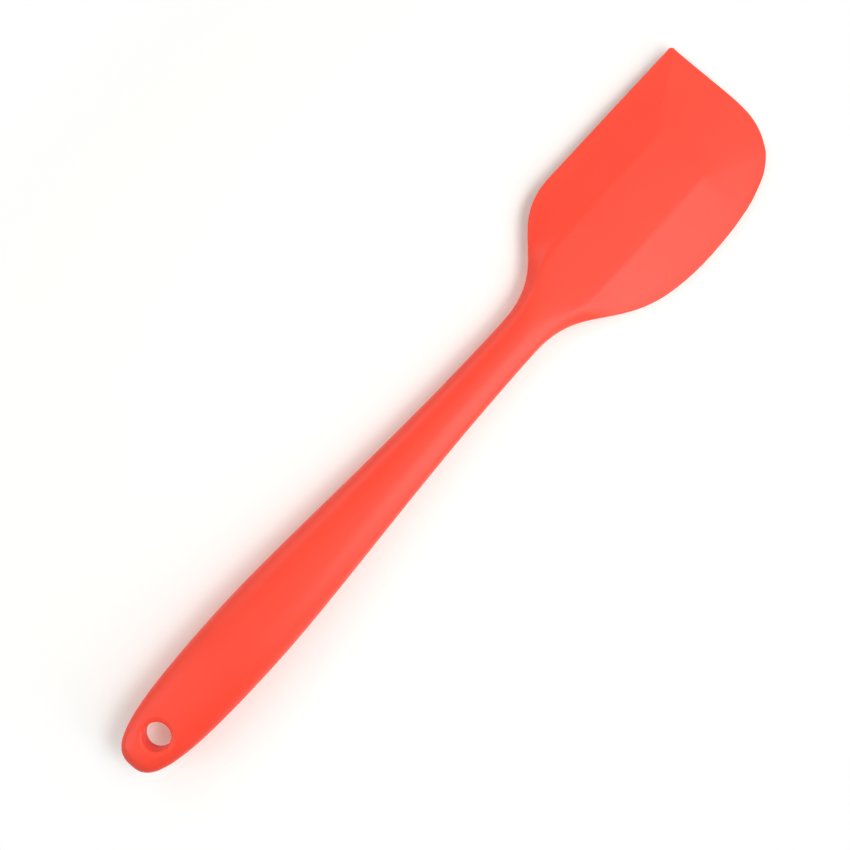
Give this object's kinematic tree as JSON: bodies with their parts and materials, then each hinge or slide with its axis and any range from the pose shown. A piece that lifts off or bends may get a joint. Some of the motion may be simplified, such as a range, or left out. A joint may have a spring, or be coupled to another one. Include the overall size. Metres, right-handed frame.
{
  "type": "baking spatula",
  "caption": "One-piece silicone baking spatula: oval grip with a hang hole, slim neck and a flexible blade with one square and one round corner, over a steel core.",
  "frame": {"origin": "under the middle of the tool's length and width, level with the lowest point of the grip", "axes": "+X along the tool from the tail to the blade's tip, +Y towards the blade's straight edge, +Z out of the blade's front face"},
  "size_m": [0.2698, 0.0519, 0.0155],
  "materials": {
    "silicone": "matt moulded silicone, coral red",
    "core_steel": "stamped stainless strip, hidden inside"
  },
  "bodies": {
    "root": {"silicone_front": "silicone", "silicone_back": "silicone", "steel_core": "core_steel"}
  },
  "joints": []
}
